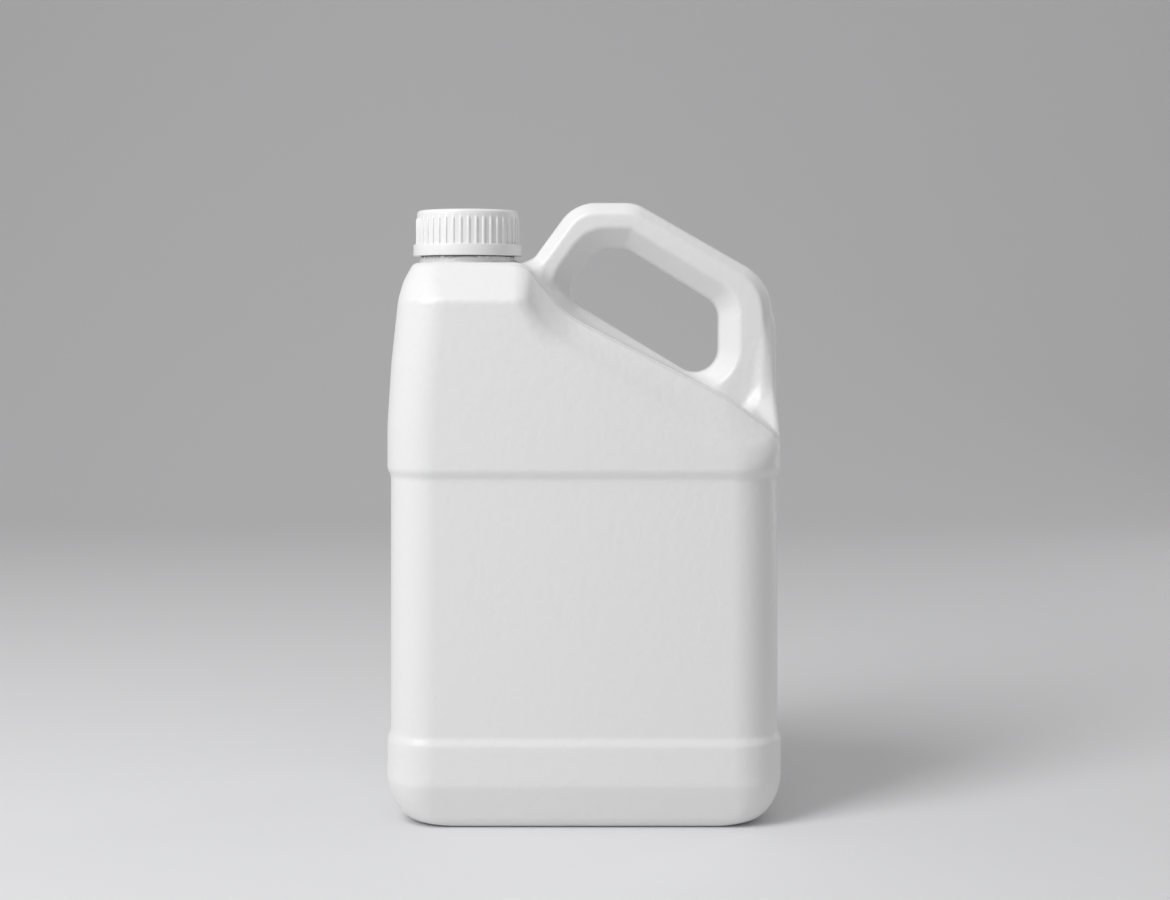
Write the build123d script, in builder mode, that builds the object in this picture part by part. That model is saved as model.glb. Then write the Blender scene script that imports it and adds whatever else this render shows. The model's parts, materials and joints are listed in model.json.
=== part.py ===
from build123d import *
import math
import os

os.makedirs("parts", exist_ok=True)

# F-style jug: a blow-moulded body with a bored handle, a screw cap and its sealing disc.
# Millimetres. X runs along the wide face towards the handle, the front faces -Y, Z is up.
# The origin is under the middle of the base.

# Body, outside
body_width = 190.5
body_depth = 120.0
body_height = 299.5
wall_thickness = 1.2
corner_radius = 25.0

# Base: a heel that turns under, a plain rim and a shallow push-up
heel_height = 25.0
heel_side_inset = 18.5
heel_front_inset = 8.5
heel_corner_radius = 16.0
rim_height = 39.9
rim_bevel_height = 3.5
rim_edge = 0.9
push_up_depth = 2.5
push_up_margin = 9.0
push_up_radius = 14.0
push_up_taper = 30.0

# Upper body, from the flat round the neck down: a shoulder, a side taper and a straight band
platform_drop = 30.5
shoulder_drop = 18.3
taper_drop = 60.7
band_height = 20.4
taper_inset = 5.1
shoulder_inset = 11.9
platform_half_depth = 41.7
platform_corner_radius = 14.0

# Label panel, set back between the rim and the step under the band
panel_recess = 1.7
step_bevel_height = 3.7
step_edge = 0.9

# Deck edge: the steep run beside the neck, then the long slope down to the handle side
deck_edge_half_depth = 42.0
deck_knee_run = 49.5
deck_knee_drop = 24.8
deck_rise_angle = 51.8
deck_knee_radius = 50.0
deck_foot_inset = 25.25
deck_foot_drop = 65.3
deck_foot_radius = 40.0
deck_tail_angle = 36.6

# The same line lower down, where the deck's bevel meets the front and back faces
border_knee_run = 37.0
border_knee_drop = 34.6
border_rise_angle = 65.6
border_knee_radius = 45.0
border_foot_inset = 45.25
border_foot_drop = 78.8
border_foot_radius = 60.0
border_tail_angle = 26.6

# Handle
handle_thickness = 32.0
handle_outer_bevel = 5.5
handle_outer_bevel_depth = 7.0
handle_inner_bevel = 9.5
handle_inner_bevel_depth = 10.5
handle_rise_angle = 53.9
handle_top_run = 53.8
handle_top_length = 30.4
handle_top_start_radius = 21.0
handle_top_end_radius = 20.0
handle_corner_inset = 3.15
handle_corner_drop = 38.24
handle_corner_radius = 26.0
handle_foot_drop = 67.5
handle_buried_depth = 10.0
handle_root_depth = 17.0
handle_root_radius = 10.0
handle_root_run = 14.0

# Foot of the handle's far leg
foot_top_drop = 56.5
foot_base_depth = 10.0
foot_top_width = 15.25
foot_base_width = 35.25
foot_top_half_depth = 9.5
foot_base_half_depth = 35.0
foot_lean = 1.4
foot_corner_bevel = 5.0

# Hole through the handle
hole_top_drop = 22.4
hole_side_inset = 27.95
hole_rise_angle = 53.6
hole_side_drop = 28.5
hole_foot_rise = 0.6
hole_top_start_run = 11.0
hole_top_end_run = 5.0
hole_floor_run = 10.2
hole_floor_rise = 1.8
hole_top_start_radius = 14.0
hole_top_end_radius = 12.0
hole_side_radius = 12.0
hole_foot_radius = 11.8
hole_heel_radius = 10.5
fillet_share = 0.95

# Neck
neck_inset = 36.65
neck_bead_radius = 23.9
neck_bead_height = 3.4
neck_radius = 22.3
neck_bore_radius = 19.8
lip_edge = 0.6
thread_depth = 1.2

# Cap and its sealing disc
cap_clearance = 0.4
cap_skirt_gap = 4.0
cap_height = 22.8
cap_radius = 25.4
cap_plate_thickness = 1.8
cap_edge = 1.3
flange_radius = 27.2
flange_height = 5.7
flange_edge = 0.4
rib_count = 42
rib_width = 1.5
rib_depth = 0.6
rib_height = 13.6
rib_tip_height = 1.2
rib_tip_depth = 0.05
rib_root = 0.3
rib_flank_angle = 62.0
liner_thickness = 1.2

overrun = 1.0
snap = 0.05
half_width = body_width / 2
half_depth = body_depth / 2
neck_x = neck_inset - half_width

# Heights, counted down from the top of the handle
platform_height = body_height - platform_drop
shoulder_height = platform_height - shoulder_drop
taper_height = shoulder_height - taper_drop
step_top = taper_height - band_height
step_height = step_top - step_bevel_height
rim_top = rim_height + rim_bevel_height

# Corners of the deck's edge, the border, the handle, its foot and its hole
deck_knee_x = neck_x + deck_knee_run
deck_knee_height = platform_height - deck_knee_drop
deck_foot_x = half_width - deck_foot_inset
deck_foot_height = platform_height - deck_foot_drop
border_knee_x = neck_x + border_knee_run
border_knee_height = platform_height - border_knee_drop
border_foot_x = half_width - border_foot_inset
border_foot_height = platform_height - border_foot_drop
handle_top_start_x = neck_x + handle_top_run
handle_top_end_x = handle_top_start_x + handle_top_length
handle_corner_x = half_width - handle_corner_inset
handle_corner_height = body_height - handle_corner_drop
handle_foot_height = body_height - handle_foot_drop
handle_buried_height = taper_height - handle_buried_depth
handle_root_height = platform_height - handle_root_depth
foot_top_height = body_height - foot_top_drop
foot_base_height = taper_height - foot_base_depth
hole_top_height = body_height - hole_top_drop
hole_side_x = half_width - hole_side_inset
hole_top_start_x = handle_top_start_x + hole_top_start_run
hole_top_end_x = handle_top_end_x - hole_top_end_run
hole_floor_x = deck_knee_x + hole_floor_run
hole_floor_height = deck_knee_height + hole_floor_rise
hole_side_height = hole_top_height - hole_side_drop
deck_fall = (deck_knee_height - deck_foot_height) / (deck_foot_x - deck_knee_x)
hole_foot_height = deck_knee_height - deck_fall * (hole_side_x - deck_knee_x) + hole_foot_rise

push_up_half_width = half_width - heel_side_inset - push_up_margin
push_up_half_depth = half_depth - heel_front_inset - push_up_margin
cap_bottom = platform_height + cap_skirt_gap
cap_top = cap_bottom + cap_height
plate_bottom = cap_top - cap_plate_thickness
flange_top = cap_bottom + flange_height
rib_top = flange_top + rib_height
neck_top = plate_bottom - liner_thickness
cap_bore_radius = neck_radius + thread_depth + cap_clearance
liner_radius = cap_bore_radius - cap_clearance


def rise(run, angle):
    return run * math.tan(math.radians(angle))


def ring(height, side, front, radius):
    """One level of the body: a rectangle with round corners."""
    with BuildSketch(Plane.XY.offset(height)) as level:
        RectangleRounded(2 * side, 2 * front, radius)
    return level.sketch


def barrel(inset):
    """The body below the deck cut, from the heel to the flat round the neck."""
    side = half_width - inset
    front = half_depth - inset
    radius = corner_radius - inset
    panel_side = side - panel_recess
    panel_front = front - panel_recess
    panel_radius = radius - panel_recess
    taper_side = side - taper_inset
    # Shares of the heel's height, and how much of its side and front inset is left there
    heel_shares = (
        (0.0, 1.0, 1.0),
        (0.048, 0.72, 0.76),
        (0.165, 0.48, 0.55),
        (0.40, 0.205, 0.33),
        (0.72, 0.05, 0.09),
        (1.0, 0.0, 0.0),
    )
    # The hollow turns under in fewer steps, which only thickens the wall there
    if inset:
        heel_shares = heel_shares[:-1:2] + heel_shares[-1:]
    # Shares of the taper's height and inset, and of the shoulder's height, side inset and front inset
    taper_shares = ((0.5, 0.37), (1.0, 1.0))
    shoulder_shares = ((0.5, 0.32, 0.5), (1.0, 1.0, 1.0))
    levels = [
        ring(
            inset + (heel_height - inset) * up,
            side - heel_side_inset * inward,
            front - heel_front_inset * back,
            radius - (corner_radius - heel_corner_radius) * inward,
        )
        for up, inward, back in heel_shares
    ]
    levels += [
        ring(rim_height, side, front, radius),
        ring(rim_top, panel_side, panel_front, panel_radius),
        ring(step_height, panel_side, panel_front, panel_radius),
        ring(step_top, side, front, radius),
        ring(taper_height, side, front, radius),
    ]
    levels += [
        ring(
            taper_height + (shoulder_height - taper_height) * up,
            side - taper_inset * inward,
            front,
            radius,
        )
        for up, inward in taper_shares
    ]
    levels += [
        ring(
            shoulder_height + (platform_height - inset - shoulder_height) * up,
            taper_side - (shoulder_inset - taper_inset) * inward,
            front - (half_depth - platform_half_depth) * back,
            radius - (corner_radius - platform_corner_radius) * up,
        )
        for up, inward, back in shoulder_shares
    ]
    with BuildPart() as form:
        loft(levels, ruled=True)
        if not inset:
            for height, edge in ((rim_height, rim_edge), (step_top, step_edge)):
                chamfer(form.edges().filter_by_position(Axis.Z, height - snap, height + snap), length=edge)
    return form.part


def deck_cut(inset):
    """Everything above the deck, with a bevel down to the front and back faces."""
    reach = body_height + overrun
    far_x = half_width + overrun
    drop = inset / math.cos(math.radians(deck_tail_angle))

    def outline(depth):
        share = (depth - deck_edge_half_depth) / (half_depth - deck_edge_half_depth)

        def between(edge, border):
            return edge + (border - edge) * max(share, 0)

        knee_x = between(deck_knee_x, border_knee_x) - inset / 2
        knee = (knee_x, between(deck_knee_height, border_knee_height) - drop)
        foot_x = between(deck_foot_x, border_foot_x) - inset / 2
        foot = (foot_x, between(deck_foot_height, border_foot_height) - drop)
        rise_angle = between(deck_rise_angle, border_rise_angle)
        tail_angle = between(deck_tail_angle, border_tail_angle)
        head = (knee[0] - (reach - knee[1]) / math.tan(math.radians(rise_angle)), reach)
        tail = (far_x, foot[1] - rise(far_x - foot[0], tail_angle))
        radii = [between(deck_knee_radius, border_knee_radius), between(deck_foot_radius, border_foot_radius)]
        with BuildSketch(Plane.XZ.offset(depth)) as face:
            with BuildLine():
                FilletPolyline(head, knee, foot, tail, radius=radii)
                Polyline(tail, (far_x, reach), head)
            make_face()
        return face.sketch

    middle = (deck_edge_half_depth + half_depth) / 2
    with BuildPart() as cut:
        loft([outline(deck_edge_half_depth), outline(middle), outline(half_depth + overrun)], ruled=True)
        mirror(about=Plane.XZ)
        extrude(outline(deck_edge_half_depth), amount=-2 * deck_edge_half_depth)
    return cut.part


def handle_outline(depth, inset):
    """The handle's outer edge, from its root by the neck over to the side of the body."""
    lean = math.tan(math.radians(handle_rise_angle))
    root_x = handle_top_start_x - (body_height - platform_height) / lean
    start = (root_x - handle_root_run, platform_height)
    foot = (half_width, handle_foot_height)
    with BuildSketch(Plane.XZ.offset(depth)) as side:
        with BuildLine():
            FilletPolyline(
                start,
                (root_x, platform_height),
                (handle_top_start_x, body_height),
                (handle_top_end_x, body_height),
                (handle_corner_x, handle_corner_height),
                foot,
                radius=[
                    handle_root_radius, handle_top_start_radius, handle_top_end_radius, handle_corner_radius,
                ],
            )
            Polyline(foot, (half_width, handle_buried_height), (start[0], handle_root_height), start)
        make_face()
        if inset:
            offset(amount=-inset)
    return side.sketch


def handle_hole(depth, outset):
    """The hole's edge, a slanting four-sided shape with round corners."""
    lean = math.tan(math.radians(hole_rise_angle))
    floor = (hole_floor_height - hole_foot_height) / (hole_side_x - hole_floor_x)
    heel_x = (hole_floor_height - hole_top_height + lean * hole_top_start_x + floor * hole_floor_x) / (lean + floor)
    corners = (
        (hole_top_start_x, hole_top_height),
        (hole_top_end_x, hole_top_height),
        (hole_side_x, hole_side_height),
        (hole_side_x, hole_foot_height),
        (heel_x, hole_floor_height - floor * (heel_x - hole_floor_x)),
    )
    # The far top corner is as round as the straight run of the top leaves room for
    turn = math.atan2(hole_side_drop, hole_side_x - hole_top_end_x)
    straight = hole_top_end_x - hole_top_start_x - hole_top_start_radius * math.tan(math.atan(lean) / 2)
    end_radius = min(hole_top_end_radius, fillet_share * straight / math.tan(turn / 2))
    radii = [hole_top_start_radius, end_radius, hole_side_radius, hole_foot_radius, hole_heel_radius]
    with BuildSketch(Plane.XZ.offset(depth)) as hole:
        with BuildLine():
            FilletPolyline(*corners, radius=radii, close=True)
        make_face()
        if outset:
            offset(amount=outset)
    return hole.sketch


def handle_form(inset):
    """The handle and its hole, bevelled narrowly outside and widely round the hole."""
    face_depth = handle_thickness / 2 - inset
    outer_depth = handle_thickness / 2 - handle_outer_bevel_depth
    inner_depth = handle_thickness / 2 - handle_inner_bevel_depth
    flare = overrun * handle_inner_bevel / handle_inner_bevel_depth
    with BuildPart() as form:
        extrude(handle_outline(outer_depth, inset), amount=-2 * outer_depth)
        for side in (1, -1):
            loft([
                handle_outline(side * outer_depth, inset),
                handle_outline(side * face_depth, inset + handle_outer_bevel),
            ], ruled=True)
        extrude(handle_hole(inner_depth, inset), amount=-2 * inner_depth, mode=Mode.SUBTRACT)
        for side in (1, -1):
            loft([
                handle_hole(side * inner_depth, inset),
                handle_hole(side * (face_depth + overrun), inset + handle_inner_bevel + flare),
            ], ruled=True, mode=Mode.SUBTRACT)
    return form.part


def handle_foot(inset):
    """The foot of the handle's far leg, which spreads to the side of the body."""
    # Shares of the foot's height from its top down, and how far its inner edge and its depth have spread
    foot_shares = (
        (0.0, 0.0, 0.0),
        (0.35, 0.16, 0.38),
        (0.68, 0.57, 0.86),
        (1.0, 1.15, 1.08),
    )
    bevel_share = 2 - math.sqrt(2)
    with BuildPart() as foot:
        sections = []
        for down, spread_x, spread_y in foot_shares:
            height = foot_top_height + (foot_base_height - foot_top_height) * down
            outer_x = half_width - foot_lean * (1 - down) ** 2 - inset
            inner_x = half_width - foot_top_width - (foot_base_width - foot_top_width) * spread_x + inset
            depth = foot_top_half_depth + (foot_base_half_depth - foot_top_half_depth) * spread_y - inset
            with BuildSketch(Plane.XY.offset(height)) as level:
                with Locations(((outer_x + inner_x) / 2, 0)):
                    Rectangle(outer_x - inner_x, 2 * depth)
                chamfer(level.vertices(), length=foot_corner_bevel - bevel_share * inset)
            sections.append(level.sketch)
        loft(sections, ruled=True)
    return foot.part


def blown_form(inset):
    """The whole blown shape without its neck: the outside at inset 0, the hollow at the wall's inset."""
    with BuildPart() as form:
        add(barrel(inset))
        add(deck_cut(inset), mode=Mode.SUBTRACT)
        add(handle_form(inset))
        add(handle_foot(inset))
        with BuildSketch(Plane.XY) as push_up:
            RectangleRounded(
                2 * (push_up_half_width + inset), 2 * (push_up_half_depth + inset), push_up_radius + inset,
            )
        extrude(amount=push_up_depth + inset, taper=push_up_taper, mode=Mode.SUBTRACT)
    return form.part


with BuildPart() as jug_body:
    add(blown_form(0))
    with Locations((neck_x, 0, platform_height - overrun)):
        Cylinder(neck_bead_radius, neck_bead_height + overrun, align=(Align.CENTER, Align.CENTER, Align.MIN))
        Cylinder(neck_radius, neck_top - platform_height + overrun, align=(Align.CENTER, Align.CENTER, Align.MIN))
    add(blown_form(wall_thickness), mode=Mode.SUBTRACT)
    with Locations((neck_x, 0, neck_top)):
        Cylinder(
            neck_bore_radius, neck_top - platform_height + neck_bore_radius,
            align=(Align.CENTER, Align.CENTER, Align.MAX), mode=Mode.SUBTRACT,
        )
    lip = jug_body.faces().filter_by_position(Axis.Z, neck_top - snap, neck_top + snap)
    chamfer(lip.edges(), length=lip_edge)
jug_body.part.label = "jug_body"
export_step(jug_body.part, "parts/jug_body.step")

# Cap: a turned shell with a flange at its foot, and a band of upright grip ribs above it
neck_plane = Plane(origin=(neck_x, 0, 0), x_dir=(1, 0, 0), z_dir=(0, -1, 0))
neck_axis = Axis((neck_x, 0, 0), (0, 0, 1))

with BuildPart() as rib:
    for height, depth in (
        (flange_top - rib_root, rib_depth), (rib_top - rib_tip_height, rib_depth), (rib_top, rib_tip_depth),
    ):
        with BuildSketch(Plane.XY.offset(height)):
            with Locations((cap_radius + depth / 2 - rib_root / 2, 0)):
                Trapezoid(rib_width + rib_root, depth + rib_root, rib_flank_angle, rotation=-90)
    loft(ruled=True)

with BuildPart() as cap:
    with BuildSketch(neck_plane) as section:
        with BuildLine():
            Polyline(
                (0, plate_bottom), (cap_bore_radius, plate_bottom), (cap_bore_radius, cap_bottom),
                (flange_radius, cap_bottom), (flange_radius, flange_top), (cap_radius, flange_top),
                (cap_radius, cap_top), (0, cap_top), close=True,
            )
        make_face()
        chamfer(section.vertices().group_by(Axis.Y)[-1].sort_by(Axis.X)[-1], length=cap_edge)
        chamfer(section.vertices().group_by(Axis.X)[-1], length=flange_edge)
    revolve(axis=neck_axis)
    with Locations((neck_x, 0, 0)):
        with PolarLocations(0, rib_count):
            add(rib.part)
cap.part.label = "cap"
export_step(cap.part, "parts/cap.step")

# Sealing disc, held flat under the cap's plate
with BuildPart() as liner:
    with Locations((neck_x, 0, plate_bottom)):
        Cylinder(liner_radius, liner_thickness, align=(Align.CENTER, Align.CENTER, Align.MAX))
liner.part.label = "liner"
export_step(liner.part, "parts/liner.step")
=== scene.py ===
# F-style jug: a blown plastic jug with a hollow handle, its ribbed screw cap and the sealing disc.
# Sizes in the dictionaries are millimetres, and mm turns them into Blender's metres.
import json
import math

import bmesh
import bpy
import numpy as np
from mathutils import Matrix, Vector

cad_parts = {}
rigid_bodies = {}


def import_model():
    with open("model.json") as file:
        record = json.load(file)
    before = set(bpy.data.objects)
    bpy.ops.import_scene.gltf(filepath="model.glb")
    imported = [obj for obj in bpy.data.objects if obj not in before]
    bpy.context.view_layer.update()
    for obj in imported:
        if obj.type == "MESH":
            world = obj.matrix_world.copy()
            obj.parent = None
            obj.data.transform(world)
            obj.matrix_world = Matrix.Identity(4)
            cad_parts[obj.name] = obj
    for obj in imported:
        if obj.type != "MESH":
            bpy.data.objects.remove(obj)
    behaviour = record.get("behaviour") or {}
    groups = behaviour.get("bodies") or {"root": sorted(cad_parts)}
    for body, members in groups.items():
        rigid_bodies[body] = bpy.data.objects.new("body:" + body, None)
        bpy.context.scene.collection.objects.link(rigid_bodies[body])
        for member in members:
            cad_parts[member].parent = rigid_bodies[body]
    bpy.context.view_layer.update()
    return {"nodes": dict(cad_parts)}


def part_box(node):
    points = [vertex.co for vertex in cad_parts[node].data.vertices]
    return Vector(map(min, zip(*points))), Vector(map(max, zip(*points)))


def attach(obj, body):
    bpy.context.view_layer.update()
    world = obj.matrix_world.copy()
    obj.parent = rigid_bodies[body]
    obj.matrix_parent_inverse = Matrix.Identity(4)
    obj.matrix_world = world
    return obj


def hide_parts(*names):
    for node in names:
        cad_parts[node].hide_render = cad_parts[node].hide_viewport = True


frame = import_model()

mm = 0.001
scene = bpy.context.scene
jugLow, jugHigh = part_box("jug_body")
capLow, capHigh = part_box("cap")
discLow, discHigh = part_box("liner")
neckX = (capLow.x + capHigh.x) / 2 / mm
jugHalfWidth = (jugHigh.x - jugLow.x) / 2 / mm
jugHalfDepth = (jugHigh.y - jugLow.y) / 2 / mm
jugTop = jugHigh.z / mm
print("frame loaded:", [round(v / mm, 1) for v in jugHigh - jugLow], "mm")


# Small helpers for meshes

def newPiece(name, mesh, body, slotName, material, *nodes):
    piece = bpy.data.objects.new(name, mesh)
    scene.collection.objects.link(piece)
    piece.data.materials.clear()
    piece.data.materials.append(material)
    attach(piece, body)
    if nodes:
        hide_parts(*nodes)
    return piece


def meshFromBmesh(name, bm):
    mesh = bpy.data.meshes.new(name)
    bm.to_mesh(mesh)
    bm.free()
    mesh.shade_smooth()
    return mesh


def applyModifier(mesh, kind, **settings):
    # gives back a new mesh with one modifier applied
    carrier = bpy.data.objects.new("carrier", mesh)
    scene.collection.objects.link(carrier)
    modifier = carrier.modifiers.new("step", kind)
    for key, value in settings.items():
        setattr(modifier, key, value)
    graph = bpy.context.evaluated_depsgraph_get()
    result = bpy.data.meshes.new_from_object(carrier.evaluated_get(graph))
    bpy.data.objects.remove(carrier)
    return result


# Signed distances, in millimetres: below zero is inside the plastic's outline

def softMax(a, b, radius):
    # both conditions hold, with a rounded outer edge
    rounding = np.hypot(np.maximum(a + radius, 0), np.maximum(b + radius, 0))
    return np.minimum(np.maximum(a, b), -radius) + rounding


def softMin(a, b, radius):
    # either one holds, with a rounded inner edge
    return -softMax(-a, -b, radius)


def softTable(points, softness, step=0.25):
    # a line through the points, its corners rounded over about four times the softness
    first, last = points[0], points[-1]
    spread = 6 * softness
    at = np.arange(first[0] - spread, last[0] + spread, step)
    values = np.interp(at, [p[0] for p in points], [p[1] for p in points])
    headSlope = (points[1][1] - first[1]) / (points[1][0] - first[0])
    tailSlope = (last[1] - points[-2][1]) / (last[0] - points[-2][0])
    values += headSlope * np.minimum(at - first[0], 0) + tailSlope * np.maximum(at - last[0], 0)
    reach = int(4 * softness / step) + 1
    kernel = np.exp(-0.5 * (np.arange(-reach, reach + 1) * step / softness) ** 2)
    kernel /= kernel.sum()
    return at[reach:-reach], np.convolve(values, kernel, mode="valid")


def follow(table, at):
    return np.interp(at, table[0], table[1])


def roundedBox(x, y, halfX, halfY, radius):
    overX = np.abs(x) - halfX + radius
    overY = np.abs(y) - halfY + radius
    rounding = np.hypot(np.maximum(overX, 0), np.maximum(overY, 0))
    return rounding + np.minimum(np.maximum(overX, overY), 0) - radius


def roundedOutline(x, z, corners):
    # a convex outline, its corners (x, z, radius) given anticlockwise
    count = len(corners)
    points = [Vector(c[:2]) for c in corners]
    normals = []
    for i in range(count):
        edge = (points[(i + 1) % count] - points[i]).normalized()
        normals.append(Vector((edge.y, -edge.x)))
    inside = None
    for i in range(count):
        before, after, corner, radius = normals[i - 1], normals[i], points[i], corners[i][2]
        centre = corner - (before + after) * radius / (1 + before.dot(after))
        dx, dz = x - centre.x, z - centre.y
        inArc = (before.x * dz - before.y * dx >= 0) & (dx * after.y - dz * after.x >= 0)
        straight = np.maximum(
            (x - corner.x) * before.x + (z - corner.y) * before.y,
            (x - corner.x) * after.x + (z - corner.y) * after.y,
        )
        wedge = np.where(inArc, np.hypot(dx, dz) - radius, straight)
        inside = wedge if inside is None else np.maximum(inside, wedge)
    return inside


# Jug body

jug = {
    "wall": 1.2,
    "cornerRadius": 25.0,
    "heelHeight": 25.0,
    "heelSideInset": 18.5,
    "heelFrontInset": 8.5,
    "heelCornerRadius": 16.0,
    "rimHeight": 39.9,
    "rimBevel": 3.5,
    "panelRecess": 1.7,
    "stepDrop": 133.6,
    "stepBevel": 3.7,
    "taperDrop": 109.5,
    "taperInset": 5.1,
    "shoulderDrop": 48.8,
    "shoulderInset": 11.9,
    "platformDrop": 30.5,
    "platformHalfDepth": 41.7,
    "platformCornerRadius": 14.0,
    "platformEdge": 2.0,
    "baseEdge": 1.0,
    "pushUpDepth": 2.5,
    "pushUpMargin": 9.0,
    "pushUpRadius": 14.0,
    "taperShare": 0.37,
    "shoulderShare": 0.68,
    "heelShares": ((0, 1), (0.05, 0.76), (0.165, 0.55), (0.84, 0), (1, 0)),
    "panelSoftness": 0.6,
    "heelSoftness": 0.8,
    "sideSoftness": 1.6,
    "frontSoftness": 1.0,
    "cornerSoftness": 2.0,
}
deck = {
    "edgeHalfDepth": 42.0,
    "edgeKnee": (-9.1, 244.2),
    "edgeRise": 51.8,
    "edgeFoot": (70.0, 203.7),
    "edgeTail": 36.6,
    "edgeSoftness": 5.0,
    "borderKnee": (-21.6, 234.4),
    "borderRise": 65.6,
    "borderFoot": (50.0, 190.2),
    "borderTail": 26.6,
    "borderSoftness": 6.0,
    "ridgeSoftness": 1.2,
    "borderRadius": 4.0,
}
handle = {
    "thickness": 32.0,
    "outerBevel": 5.5,
    "outerBevelDepth": 7.0,
    "innerBevel": 9.5,
    "innerBevelDepth": 10.5,
    "rise": 53.9,
    "topStart": (-4.8, 21.0),
    "topEnd": (25.6, 20.0),
    "corner": (92.1, 261.3, 26.0),
    "sideHeight": 232.0,
    "buriedHeight": 180.0,
    "rootHeight": 240.0,
    "bevelSoftness": 1.0,
    "rootX": (-24.0, 4.0, 50.0, 70.0, 82.0, 92.0),
    "rootRadius": (10.0, 2.0, 2.0, 6.0, 6.0, 1.0),
}
hole = {
    "topHeight": 277.1,
    "topStart": (6.2, 14.0),
    "topEnd": (20.6, 12.0),
    "side": 67.3,
    "sideRadius": 12.0,
    "footRadius": 11.8,
    "heelRadius": 10.5,
    "rise": 53.6,
    "fall": 31.4,
    "floor": 31.35,
    "floorPoint": (1.1, 246.0),
    "bevelRadii": (22.0, 18.0, 3.0, 20.0, 20.0),
}
legFoot = {
    "height": (180.0, 186.0, 192.0, 200.0, 207.0, 214.0, 222.0, 243.0),
    "halfDepth": (41.0, 36.0, 29.0, 20.5, 17.0, 15.6, 14.5, 9.5),
    "innerX": (60.0, 66.0, 76.0, 84.0, 87.0, 87.0, 87.0, 87.0),
    "lean": 1.4,
    "cornerRadius": 3.5,
    "topRadius": 4.0,
    "baseRadius": 0.5,
    "softness": 4.0,
    "blend": 5.0,
}
neck = {  # cut: where the blown skin ends; spare: kept above it until then; clear: free of the handle
    "beadRadius": 23.9,
    "beadGap": 0.05,
    "beadEdge": 0.1,
    "radius": 22.3,
    "boreRadius": 19.8,
    "lip": 0.8,
    "cut": 6.5,
    "spare": 3.0,
    "sunk": 8.0,
    "clear": 29.0,
    "bridge": 1.5,
    "margin": 12.0,
    "footRadius": 1.2,
    "steps": 96,
    "threadDepth": 1.1,
    "threadPitch": 5.0,
    "threadTurns": 2,
    "threadWidth": 2.4,
    "threadStart": 8.0,
    "threadSteps": 64,
}
bodyMesh = {"voxel": 1.72, "innerVoxel": 3.6, "rounds": 6}

platformHeight = jugTop - jug["platformDrop"]
stepHeight = jugTop - jug["stepDrop"]
taperHeight = jugTop - jug["taperDrop"]
beadHeight = capLow.z / mm - neck["beadGap"]
shoulderHeight = jugTop - jug["shoulderDrop"]
neckCut = platformHeight + neck["cut"]
neckTop = neckCut + neck["spare"]


def slopeOf(table):
    return table[0], np.gradient(table[1], table[0])


def panelTable():
    rim, bevel, recess = jug["rimHeight"], jug["rimBevel"], jug["panelRecess"]
    return softTable([
        (0, 0), (rim, 0), (rim + bevel, recess),
        (stepHeight, recess), (stepHeight + jug["stepBevel"], 0), (jugTop, 0),
    ], jug["panelSoftness"])


def heelTable(shares, inset):
    points = [(jug["heelHeight"] * up, inset * left) for up, left in shares]
    return softTable(points + [(jugTop, 0)], jug["heelSoftness"])


def deckTable(knee, rise, foot, tail, softness):
    steep = math.tan(math.radians(rise))
    far = math.tan(math.radians(tail))
    reach = 130
    return softTable([
        (knee[0] - reach, knee[1] + reach * steep), knee, foot, (foot[0] + reach, foot[1] - reach * far),
    ], softness)


quarterRound = [(up, 1 - math.sqrt(max(1 - (1 - up) ** 2, 0))) for up in np.linspace(0, 1, 25)]
panelInset = panelTable()
heelSide = heelTable(quarterRound, jug["heelSideInset"])
heelFront = heelTable(jug["heelShares"], jug["heelFrontInset"])
shoulderMiddle = jug["shoulderShare"] * jug["taperInset"] + (1 - jug["shoulderShare"]) * jug["shoulderInset"]
platformInset = jugHalfDepth - jug["platformHalfDepth"]
sideTaper = softTable([
    (0, 0), (taperHeight, 0), ((taperHeight + shoulderHeight) / 2, jug["taperShare"] * jug["taperInset"]),
    (shoulderHeight, jug["taperInset"]), ((shoulderHeight + platformHeight) / 2, shoulderMiddle),
    (platformHeight, jug["shoulderInset"]), (jugTop, 2.3 * jug["shoulderInset"]),
], jug["sideSoftness"])
frontTaper = softTable([
    (0, 0), (shoulderHeight, 0), (platformHeight, platformInset), (jugTop, 2.6 * platformInset),
], jug["frontSoftness"])
cornerRadius = softTable([
    (-20, jug["heelCornerRadius"]), (0, jug["heelCornerRadius"]), (jug["heelHeight"], jug["cornerRadius"]),
    (shoulderHeight, jug["cornerRadius"]), (platformHeight, jug["platformCornerRadius"]),
    (jugTop, jug["platformCornerRadius"]),
], jug["cornerSoftness"])
edgeLine = deckTable(
    deck["edgeKnee"], deck["edgeRise"], deck["edgeFoot"], deck["edgeTail"], deck["edgeSoftness"],
)
borderLine = deckTable(
    deck["borderKnee"], deck["borderRise"], deck["borderFoot"], deck["borderTail"], deck["borderSoftness"],
)
edgeSlope = slopeOf(edgeLine)
borderSlope = slopeOf(borderLine)


def handleCorners():
    lean = math.tan(math.radians(handle["rise"]))
    startX = handle["topStart"][0]
    return (
        (jugHalfWidth, handle["buriedHeight"], 0),
        (jugHalfWidth, handle["sideHeight"], 0),
        handle["corner"],
        (handle["topEnd"][0], jugTop, handle["topEnd"][1]),
        (startX, jugTop, handle["topStart"][1]),
        (startX - (jugTop - handle["rootHeight"]) / lean, handle["rootHeight"], 0),
    )


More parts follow.
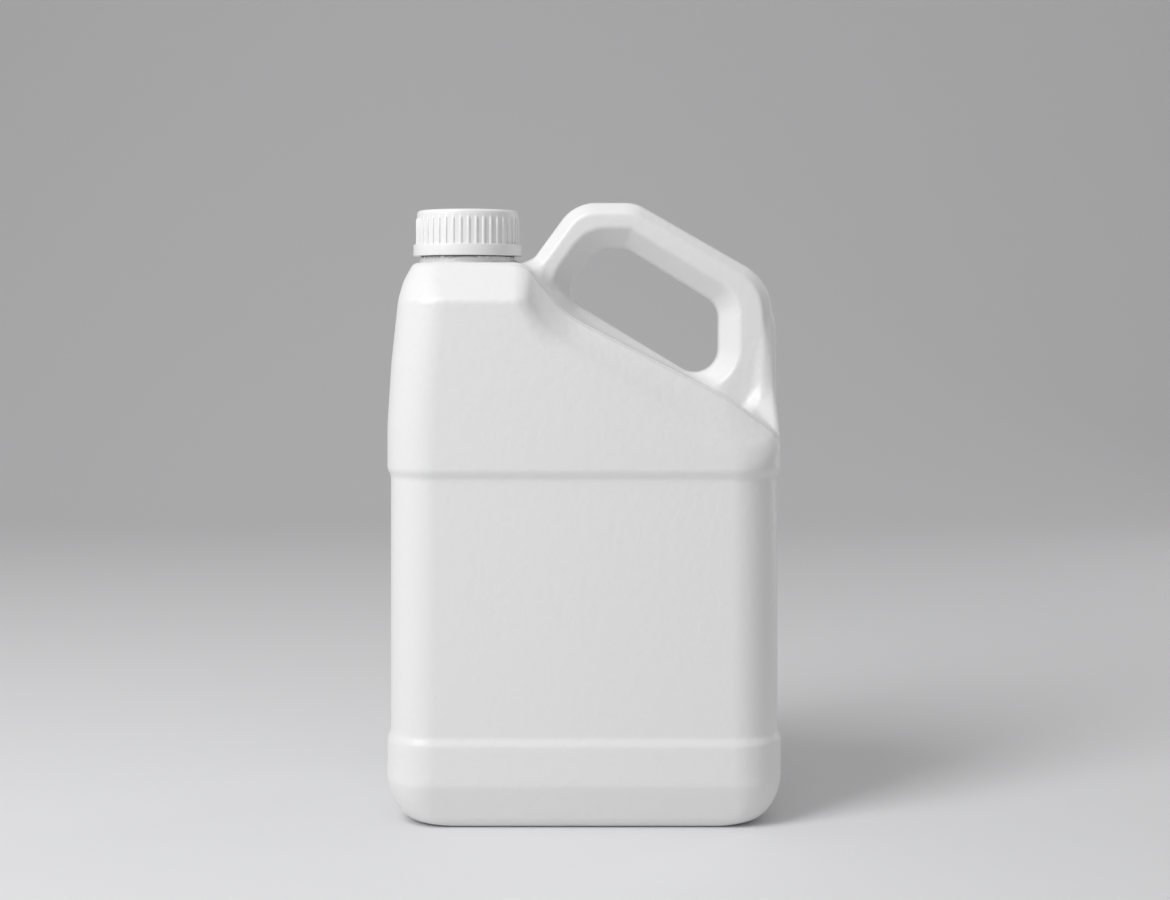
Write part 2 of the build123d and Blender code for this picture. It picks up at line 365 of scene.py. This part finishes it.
def holeCorners(outward=0):
    lean, fall, floor = (math.tan(math.radians(hole[key])) for key in ("rise", "fall", "floor"))
    floorX, floorZ = hole["floorPoint"]
    startX, endX, top, side = hole["topStart"][0], hole["topEnd"][0], hole["topHeight"], hole["side"]
    heelX = (floorZ - top + lean * startX + floor * floorX) / (lean + floor)
    corners = (
        (side, floorZ - floor * (side - floorX), hole["footRadius"]),
        (side, top - fall * (side - endX), hole["sideRadius"]),
        (endX, top, hole["topEnd"][1]),
        (startX, top, hole["topStart"][1]),
        (heelX, floorZ - floor * (heelX - floorX), hole["heelRadius"]),
    )
    if not outward:
        return corners
    moved = []
    for i, (x, z, _) in enumerate(corners):
        into = Vector((x, z)) - Vector(corners[i - 1][:2])
        onward = Vector(corners[(i + 1) % len(corners)][:2]) - Vector((x, z))
        before = Vector((into.y, -into.x)).normalized()
        after = Vector((onward.y, -onward.x)).normalized()
        shift = (before + after) * outward / (1 + before.dot(after))
        moved.append((x + shift.x, z + shift.y, hole["bevelRadii"][i]))
    return moved


def barrelForm(x, y, z):
    side = jugHalfWidth - follow(panelInset, z) - follow(heelSide, z) - follow(sideTaper, z)
    front = jugHalfDepth - follow(panelInset, z) - follow(heelFront, z) - follow(frontTaper, z)
    walls = roundedBox(x, y, side, front, follow(cornerRadius, z) - follow(panelInset, z))
    walls = softMax(walls, z - platformHeight, jug["platformEdge"])
    walls = softMax(walls, -z, jug["baseEdge"])
    pocketX = jugHalfWidth - jug["heelSideInset"] - jug["pushUpMargin"]
    pocketY = jugHalfDepth - jug["heelFrontInset"] - jug["pushUpMargin"]
    pocket = roundedBox(x, y, pocketX, pocketY, jug["pushUpRadius"])
    pocket = softMax((pocket + z) * math.sqrt(0.5), z - jug["pushUpDepth"], jug["baseEdge"])
    return softMax(walls, -pocket, jug["baseEdge"])


def deckForm(x, y, z):
    width = jugHalfDepth - deck["edgeHalfDepth"]
    soft = deck["ridgeSoftness"]
    over = np.abs(y) - deck["edgeHalfDepth"]
    ramp = np.where(over < -soft, 0, np.where(over > soft, over, (over + soft) ** 2 / (4 * soft))) / width
    edge, border = follow(edgeLine, x), follow(borderLine, x)
    slopeX = follow(edgeSlope, x) * (1 - ramp) + follow(borderSlope, x) * ramp
    slopeY = np.where(over > 0, (border - edge) / width, 0)
    return (z - edge - (border - edge) * ramp) / np.sqrt(1 + slopeX ** 2 + slopeY ** 2)


def handleForm(x, y, z):
    depth = np.abs(y)
    half = handle["thickness"] / 2
    outline = roundedOutline(x, z, handleCorners())
    opening = -roundedOutline(x, z, holeCorners())

    def bevelled(edge, width, bevelDepth):
        slant = (edge * bevelDepth + (depth - half + bevelDepth) * width) / math.hypot(width, bevelDepth)
        return softMax(edge, slant, handle["bevelSoftness"])

    outside = bevelled(outline, handle["outerBevel"], handle["outerBevelDepth"])
    spread = handle["innerBevel"]
    mitred = -roundedOutline(x, z, holeCorners(spread)) - spread
    slant = (mitred * handle["innerBevelDepth"] + (depth - half + handle["innerBevelDepth"]) * spread)
    slant /= math.hypot(spread, handle["innerBevelDepth"])
    inside = softMax(opening, slant, handle["bevelSoftness"])
    solid = softMax(outside, depth - half, handle["bevelSoftness"])
    return softMax(solid, inside, handle["bevelSoftness"])


footDepth = softTable(list(zip(legFoot["height"], legFoot["halfDepth"])), legFoot["softness"])
footInner = softTable(list(zip(legFoot["height"], legFoot["innerX"])), legFoot["softness"])


def legFootForm(x, y, z):
    low, high = legFoot["height"][0], legFoot["height"][-1]
    up = np.clip((z - low) / (high - low), 0, 1)
    outer = jugHalfWidth - legFoot["lean"] * up ** 2
    inner = follow(footInner, z)
    middle, halfWidth = (outer + inner) / 2, (outer - inner) / 2
    walls = roundedBox(x - middle, y, halfWidth, follow(footDepth, z), legFoot["cornerRadius"])
    return softMax(softMax(walls, z - high, legFoot["topRadius"]), low - z, legFoot["baseRadius"])


def blownForm(x, y, z):
    body = softMax(barrelForm(x, y, z), deckForm(x, y, z), deck["borderRadius"])
    grip = softMin(handleForm(x, y, z), legFootForm(x, y, z), legFoot["blend"])
    joined = softMin(body, grip, np.interp(x, handle["rootX"], handle["rootRadius"]))
    return np.maximum(joined, np.abs(x) - jugHalfWidth)


def neckReach(z):
    return np.maximum(platformHeight - neck["sunk"] - z, z - neckTop)


def outerForm(x, y, z):
    across = np.hypot(x - neckX, y)
    bead = softMax(across - neck["beadRadius"], z - beadHeight, neck["beadEdge"])
    stub = np.maximum(np.minimum(bead, across - neck["radius"]), neckReach(z))
    return softMin(blownForm(x, y, z), stub, neck["footRadius"])


def innerForm(x, y, z):
    bore = np.maximum(np.hypot(x - neckX, y) - neck["boreRadius"], neckReach(z))
    return softMin(blownForm(x, y, z) + jug["wall"], bore, neck["footRadius"])


def steepest(form, points, step=0.02):
    # the form's value at each point and its gradient
    x, y, z = points.T
    value = form(x, y, z)
    ahead = (form(x + step, y, z), form(x, y + step, z), form(x, y, z + step))
    return value, np.stack([(there - value) / step for there in ahead], axis=1)


def facing(form, points, reach=0.5):
    # the form's normal, averaged over a short reach so that creases shade softly
    x, y, z = points.T
    across = (form(x + reach, y, z) - form(x - reach, y, z))
    deep = (form(x, y + reach, z) - form(x, y - reach, z))
    upward = (form(x, y, z + reach) - form(x, y, z - reach))
    slope = np.stack([across, deep, upward], axis=1)
    return slope / np.linalg.norm(slope, axis=1)[:, None]


def pullOnto(bm, form, passes=3, reach=2.0):
    # moves each vertex down the form's gradient to where its value is zero
    points = np.array([v.co for v in bm.verts]) / mm
    for _ in range(passes):
        value, gradient = steepest(form, points)
        size = np.maximum((gradient ** 2).sum(axis=1), 0.2)
        points -= gradient * (np.clip(value, -reach, reach) / size)[:, None]
    for vertex, point in zip(bm.verts, points):
        vertex.co = point * mm


def neckSide(items, height):
    # what lies on the neck's side of the handle, above a height
    placed = [(item, item.calc_center_median()) for item in items]
    farX = (neckX + neck["clear"]) * mm
    return [item for item, middle in placed if middle.x < farX and middle.z > height]


def cutNeck(bm, height):
    # takes off everything on the neck above a height, and leaves the handle
    faces = neckSide(bm.faces, (height - neck["margin"]) * mm)
    edges = list({e for f in faces for e in f.edges})
    verts = list({v for f in faces for v in f.verts})
    bmesh.ops.bisect_plane(
        bm, geom=faces + edges + verts, dist=1e-7,
        plane_co=(0, 0, height * mm), plane_no=(0, 0, 1), clear_outer=True,
    )


def skinOf(bm, outer):
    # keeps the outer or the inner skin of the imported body, which the neck's cut has parted
    start = min(bm.verts, key=lambda v: v.co.z)
    found = {start}
    waiting = [start]
    while waiting:
        vertex = waiting.pop()
        for link in vertex.link_edges:
            other = link.other_vert(vertex)
            if other not in found:
                found.add(other)
                waiting.append(other)
    bmesh.ops.delete(bm, geom=[v for v in bm.verts if (v in found) != outer], context="VERTS")


def relax(bm, form, rounds, passes):
    # evens out the vertices and keeps them on the form
    pullOnto(bm, form)
    for _ in range(rounds):
        free = [v for v in bm.verts if not v.is_boundary]
        bmesh.ops.smooth_vert(bm, verts=free, factor=0.5, use_axis_x=True, use_axis_y=True, use_axis_z=True)
        pullOnto(bm, form, passes)


def blownSkin(outer):
    form = outerForm if outer else innerForm
    bm = bmesh.new()
    bm.from_mesh(frame["nodes"]["jug_body"].data)
    bmesh.ops.remove_doubles(bm, verts=bm.verts, dist=1e-6)
    cutNeck(bm, neckTop)
    skinOf(bm, outer)
    bmesh.ops.holes_fill(bm, edges=[e for e in bm.edges if e.is_boundary], sides=0)
    bmesh.ops.recalc_face_normals(bm, faces=bm.faces)
    voxel = bodyMesh["voxel"] if outer else bodyMesh["innerVoxel"]
    for step in range(2):  # the second remesh evens out what the first pull has crowded
        mesh = applyModifier(meshFromBmesh("skin", bm), "REMESH", mode="VOXEL", voxel_size=voxel * mm)
        bm = bmesh.new()
        bm.from_mesh(mesh)
        if step == 0:
            relax(bm, form, rounds=3, passes=3)
    cutNeck(bm, neckCut)
    relax(bm, form, rounds=bodyMesh["rounds"], passes=1)
    print("outer skin:" if outer else "inner skin:", len(bm.faces), "faces")
    return bm


def spunRing(bm, outline, steps):
    # turns an open outline of (radius, height) about the neck's axis
    verts = [bm.verts.new(((neckX + r) * mm, 0, z * mm)) for r, z in outline]
    edges = [bm.edges.new(pair) for pair in zip(verts, verts[1:])]
    bmesh.ops.spin(
        bm, geom=verts + edges, cent=(neckX * mm, 0, 0), axis=(0, 0, 1), dvec=(0, 0, 0),
        angle=2 * math.pi, space=Matrix.Identity(4), steps=steps, use_merge=True, use_duplicate=False,
    )


def arc(centre, radius, start, end, count):
    angles = [math.radians(start + (end - start) * i / count) for i in range(count + 1)]
    return [(centre[0] + radius * math.cos(a), centre[1] + radius * math.sin(a)) for a in angles]


def threadRidge(bm, rootRadius, baseHeight, settings):
    # a trapezoid swept up a helix, with closed ends, its root sunk into the wall
    half, depth, turns = settings["threadWidth"] / 2, settings["threadDepth"], settings["threadTurns"]
    sink = 0.3 if depth > 0 else -0.3
    outline = ((-sink, -half), (depth, -half * 0.35), (depth, half * 0.35), (-sink, half))
    verts = [bm.verts.new(((neckX + rootRadius + r) * mm, 0, (baseHeight + z) * mm)) for r, z in outline]
    face = bm.faces.new(verts)
    steps = settings["threadSteps"] * turns
    lift = settings["threadPitch"] * turns / steps * mm
    bmesh.ops.spin(
        bm, geom=[face], cent=(neckX * mm, 0, 0), axis=(0, 0, 1), dvec=(0, 0, lift),
        angle=2 * math.pi * turns, space=Matrix.Identity(4), steps=steps,
        use_merge=False, use_duplicate=False,
    )


def loopNear(bm, height, radius):
    # boundary edges round the neck at about that height and radius
    found = []
    for e in bm.edges:
        if not e.is_boundary:
            continue
        middle = (e.verts[0].co + e.verts[1].co) / 2
        across = math.hypot(middle.x / mm - neckX, middle.y / mm)
        if abs(across - radius) < neck["lip"] and abs(middle.z / mm - height) < neck["bridge"] / 2:
            found.append(e)
    return found


def makeBody():
    bm = blownSkin(True)
    inner = blownSkin(False)
    bmesh.ops.reverse_faces(inner, faces=inner.faces)
    bm.from_mesh(meshFromBmesh("inner", inner))
    lipTop = discLow.z / mm
    lip = neck["lip"]
    start = neckCut + neck["bridge"]
    outline = [(neck["radius"], start)]
    outline += arc((neck["radius"] - lip, lipTop - lip), lip, 0, 90, 6)
    outline += arc((neck["boreRadius"] + lip, lipTop - lip), lip, 90, 180, 6)
    outline += [(neck["boreRadius"], start)]
    spunRing(bm, outline, neck["steps"])
    for radius in (neck["radius"], neck["boreRadius"]):
        low = loopNear(bm, neckCut, radius)
        high = loopNear(bm, start, radius)
        bmesh.ops.bridge_loops(bm, edges=low + high)
    threadRidge(bm, neck["radius"], platformHeight + neck["threadStart"], neck)
    bmesh.ops.recalc_face_normals(bm, faces=bm.faces)
    mesh = meshFromBmesh("jugShell", bm)
    shapeNormals(mesh)
    return mesh


def shapeNormals(mesh, near=0.2):
    # takes the blown skin's shading from the form, and leaves the spun neck's own
    points = np.empty(len(mesh.vertices) * 3)
    mesh.vertices.foreach_get("co", points)
    points = points.reshape(-1, 3) / mm
    normals = np.zeros_like(points)
    blown = (points[:, 2] < neckCut + near) | (points[:, 0] > neckX + neck["clear"])
    for form, sign in ((outerForm, 1), (innerForm, -1)):
        onForm = blown & (np.abs(form(*points.T)) < near)
        normals[onForm] = sign * facing(form, points[onForm])
    mesh.normals_split_custom_set_from_vertices(normals)
    print("jug body:", len(mesh.polygons), "faces,", int(normals.any(axis=1).sum()), "shaped normals")


# Plastics

def mathNode(nodes, links, operation, first, second):
    node = nodes.new("ShaderNodeMath")
    node.operation = operation
    for slot, value in zip(node.inputs, (first, second)):
        if isinstance(value, (int, float)):
            slot.default_value = value
        else:
            links.new(value, slot)
    return node.outputs[0]


def lineHeight(nodes, links, across, line):
    # a fine line where the distance across it is near its centre, with faded edges
    offset = mathNode(nodes, links, "SUBTRACT", across, line["centre"] * mm)
    away = mathNode(nodes, links, "ABSOLUTE", offset, 0)
    fade = nodes.new("ShaderNodeMapRange")
    fade.interpolation_type = "SMOOTHSTEP"
    fade.inputs["From Min"].default_value = 0
    fade.inputs["From Max"].default_value = line["halfWidth"] * mm
    fade.inputs["To Min"].default_value = line["height"]
    fade.inputs["To Max"].default_value = 0
    links.new(away, fade.inputs["Value"])
    return fade.outputs["Result"]


finishes = {  # grain: cells a metre and their height in millimetres
    "blownPlastic": {"colour": (0.82, 0.82, 0.82), "roughness": 0.36, "grainScale": 240, "grainHeight": 0.22},
    "capPlastic": {"colour": (0.84, 0.84, 0.84), "roughness": 0.33, "grainScale": 500, "grainHeight": 0.02},
    "discFoam": {"colour": (0.85, 0.85, 0.83), "roughness": 0.8, "grainScale": 900, "grainHeight": 0.05},
}
partingLine = {"centre": 0, "halfWidth": 0.25, "height": 0.06, "limits": ()}
ridgeGroove = {
    "centre": deck["edgeHalfDepth"] + 0.7,
    "halfWidth": 0.6,
    "height": -0.25,
    "limits": (("X", "GREATER_THAN", -36), ("X", "LESS_THAN", 93), ("Z", "GREATER_THAN", 150)),
}


def plastic(name, lines=()):
    # a line lies at its centre's distance from the mould's middle plane, within its limits
    finish = finishes[name]
    material = bpy.data.materials.new(name)
    material.use_nodes = True
    nodes, links = material.node_tree.nodes, material.node_tree.links
    shader = nodes["Principled BSDF"]
    shader.inputs["Base Color"].default_value = (*finish["colour"], 1)
    shader.inputs["Roughness"].default_value = finish["roughness"]
    shader.inputs["IOR"].default_value = 1.5
    place = nodes.new("ShaderNodeTexCoord")
    grain = nodes.new("ShaderNodeTexNoise")
    grain.inputs["Scale"].default_value = finish["grainScale"]
    grain.inputs["Detail"].default_value = 3
    links.new(place.outputs["Object"], grain.inputs["Vector"])
    height = mathNode(nodes, links, "MULTIPLY", grain.outputs["Fac"], finish["grainHeight"])
    parts = nodes.new("ShaderNodeSeparateXYZ")
    links.new(place.outputs["Object"], parts.inputs["Vector"])
    depth = mathNode(nodes, links, "ABSOLUTE", parts.outputs["Y"], 0)
    for line in lines:
        raised = lineHeight(nodes, links, depth, line)
        for axis, side, limit in line["limits"]:
            within = mathNode(nodes, links, side, parts.outputs[axis], limit * mm)
            raised = mathNode(nodes, links, "MULTIPLY", raised, within)
        height = mathNode(nodes, links, "ADD", height, raised)
    bump = nodes.new("ShaderNodeBump")
    bump.inputs["Strength"].default_value = 1.0
    bump.inputs["Distance"].default_value = mm
    links.new(height, bump.inputs["Height"])
    links.new(bump.outputs["Normal"], shader.inputs["Normal"])
    return material


bodyPlastic = plastic("blownPlastic", (partingLine, ridgeGroove))
capPlastic = plastic("capPlastic")
discFoam = plastic("discFoam")

jugShell = newPiece("jugShell", makeBody(), "jug", "body_plastic", bodyPlastic, "jug_body")


# Cap

cap = {
    "plate": 1.8,
    "boreRadius": 23.9,
    "wallRadius": 25.4,
    "topEdge": 1.9,
    "flangeRadius": 27.2,
    "flangeHeight": 5.7,
    "flangeEdge": 0.35,
    "mouthEdge": 0.1,
    "ribCount": 42,
    "ribDepth": 0.6,
    "ribHalfWidth": 0.68,
    "ribFlank": 0.26,
    "ribTop": 19.3,
    "ribTip": 1.2,
    "stepsPerRib": 16,
    "threadDepth": -1.0,
    "threadPitch": 5.0,
    "threadTurns": 2,
    "threadWidth": 2.2,
    "threadStart": 5.5,
    "threadSteps": 64,
}


def smoothStep(low, high, value):
    share = min(max((value - low) / (high - low), 0), 1)
    return share * share * (3 - 2 * share)


def capOutline(low, high):
    # from the middle of the top round the wall and flange to the middle of the plate's underside
    wall, flange, bore = cap["wallRadius"], cap["flangeRadius"], cap["boreRadius"]
    edge, lipEdge, mouth = cap["topEdge"], cap["flangeEdge"], cap["mouthEdge"]
    flangeTop = low + cap["flangeHeight"]
    ribTop = low + cap["ribTop"]
    outline = [(0, high), (wall - edge - 6, high)]
    outline += arc((wall - edge, high - edge), edge, 90, 0, 6)
    outline += [(wall, ribTop), (wall, ribTop - cap["ribTip"] / 2), (wall, ribTop - cap["ribTip"])]
    outline += [(wall, (ribTop + flangeTop) / 2), (wall, flangeTop + lipEdge), (wall, flangeTop)]
    outline += arc((flange - lipEdge, flangeTop - lipEdge), lipEdge, 90, 0, 4)
    outline += arc((flange - lipEdge, low + lipEdge), lipEdge, 0, -90, 4)
    outline += arc((bore + mouth, low + mouth), mouth, 270, 180, 4)
    outline += [(bore, high - cap["plate"]), (0, high - cap["plate"])]
    return outline


def raiseRibs(bm, low):
    pitch = 2 * math.pi * cap["wallRadius"] / cap["ribCount"]
    flangeTop = low + cap["flangeHeight"]
    ribTop = low + cap["ribTop"]
    for vertex in bm.verts:
        x, y, z = vertex.co.x / mm - neckX, vertex.co.y / mm, vertex.co.z / mm
        radius = math.hypot(x, y)
        if z < flangeTop - 0.01 or z > ribTop + 0.01 or abs(radius - cap["wallRadius"]) > 0.05:
            continue
        along = math.atan2(y, x) / (2 * math.pi) * cap["ribCount"]
        aside = abs(along - round(along)) * pitch
        across = smoothStep(cap["ribHalfWidth"], cap["ribHalfWidth"] - cap["ribFlank"], aside)
        height = smoothStep(ribTop, ribTop - cap["ribTip"], z)
        wider = 1 + cap["ribDepth"] * across * height / radius
        vertex.co.x = (neckX + x * wider) * mm
        vertex.co.y = y * wider * mm


def makeCap():
    low, high = capLow.z / mm, capHigh.z / mm
    bm = bmesh.new()
    spunRing(bm, capOutline(low, high), cap["ribCount"] * cap["stepsPerRib"])
    bmesh.ops.remove_doubles(bm, verts=bm.verts, dist=1e-7)
    raiseRibs(bm, low)
    bmesh.ops.recalc_face_normals(bm, faces=bm.faces)
    threadRidge(bm, cap["boreRadius"], low + cap["threadStart"], cap)
    mesh = meshFromBmesh("screwCap", bm)
    mesh.set_sharp_from_angle(angle=math.radians(50))
    print("cap:", len(mesh.polygons), "faces")
    return mesh


screwCap = newPiece("screwCap", makeCap(), "cap", "cap_plastic", capPlastic, "cap")


# Sealing disc

disc = {"edge": 0.2, "steps": 96}


def makeDisc():
    low, high, edge = discLow.z / mm, discHigh.z / mm, disc["edge"]
    radius = (discHigh.x - discLow.x) / 2 / mm
    bm = bmesh.new()
    outline = [(0, high)] + arc((radius - edge, high - edge), edge, 90, 0, 3)
    outline += arc((radius - edge, low + edge), edge, 0, -90, 3) + [(0, low)]
    spunRing(bm, outline, disc["steps"])
    bmesh.ops.remove_doubles(bm, verts=bm.verts, dist=1e-7)
    bmesh.ops.recalc_face_normals(bm, faces=bm.faces)
    return meshFromBmesh("sealingDisc", bm)


sealingDisc = newPiece("sealingDisc", makeDisc(), "liner", "liner_foam", discFoam, "liner")


# Stage, light and camera

stageSettings = {  # metres
    "near": -3.0,
    "far": 2.4,
    "sweep": 1.2,
    "top": 4.0,
    "half": 5.0,
    "colour": (0.76, 0.76, 0.77),
}
cameraSettings = {
    "place": (0.0004, -0.956, 0.246),
    "lens": 58.46,
    "sensor": 36.0,
    "horizonShift": -140 / 1170,
}


def makeFloor():
    # a pale floor that sweeps up into the backdrop
    far, rise, half = stageSettings["far"], stageSettings["sweep"], stageSettings["half"]
    profile = [(stageSettings["near"], 0), (0, 0)]
    profile += arc((far - rise, rise), rise, -90, 0, 24) + [(far, stageSettings["top"])]
    bm = bmesh.new()
    verts = [bm.verts.new((-half, y, z)) for y, z in profile]
    edges = [bm.edges.new(pair) for pair in zip(verts, verts[1:])]
    swept = bmesh.ops.extrude_edge_only(bm, edges=edges)
    moved = [v for v in swept["geom"] if isinstance(v, bmesh.types.BMVert)]
    bmesh.ops.translate(bm, verts=moved, vec=(2 * half, 0, 0))
    floor = bpy.data.objects.new("floor", meshFromBmesh("floor", bm))
    scene.collection.objects.link(floor)
    material = bpy.data.materials.new("floorPaint")
    material.use_nodes = True
    shader = material.node_tree.nodes["Principled BSDF"]
    shader.inputs["Base Color"].default_value = (*stageSettings["colour"], 1)
    shader.inputs["Roughness"].default_value = 0.8
    floor.data.materials.append(material)


def makeCamera():
    camera = bpy.data.cameras.new("camera")
    camera.lens = cameraSettings["lens"]
    camera.sensor_width = cameraSettings["sensor"]
    camera.shift_y = cameraSettings["horizonShift"]
    holder = bpy.data.objects.new("camera", camera)
    holder.location = cameraSettings["place"]
    holder.rotation_euler = (math.radians(90), 0, 0)
    scene.collection.objects.link(holder)
    scene.camera = holder


world = {"colour": (1, 1, 1), "strength": 0.345}
aimPoint = Vector((0, 0, 0.15))
lights = {  # metres and watts
    "key": {"place": (-0.84, -0.76, 1.18), "width": 0.6, "height": 1.4, "power": 18.4},
    "top": {"place": (0.3, 0.0, 1.5), "width": 0.9, "height": 0.9, "power": 1.6},
    "rim": {"place": (1.2, 0.9, 0.5), "width": 0.3, "height": 1.0, "power": 2},
}


def makeLights():
    for name, values in lights.items():
        lamp = bpy.data.lights.new(name, "AREA")
        lamp.shape = "RECTANGLE"
        lamp.size = values["width"]
        lamp.size_y = values["height"]
        lamp.energy = values["power"]
        holder = bpy.data.objects.new(name, lamp)
        holder.location = values["place"]
        holder.rotation_euler = (aimPoint - holder.location).to_track_quat("-Z", "Y").to_euler()
        scene.collection.objects.link(holder)
    studio = bpy.data.worlds.new("studio")
    studio.use_nodes = True
    background = studio.node_tree.nodes["Background"]
    background.inputs["Color"].default_value = (*world["colour"], 1)
    background.inputs["Strength"].default_value = world["strength"]
    scene.world = studio


makeFloor()
makeCamera()
makeLights()
scene.view_settings.view_transform = "Standard"
print("stage ready")
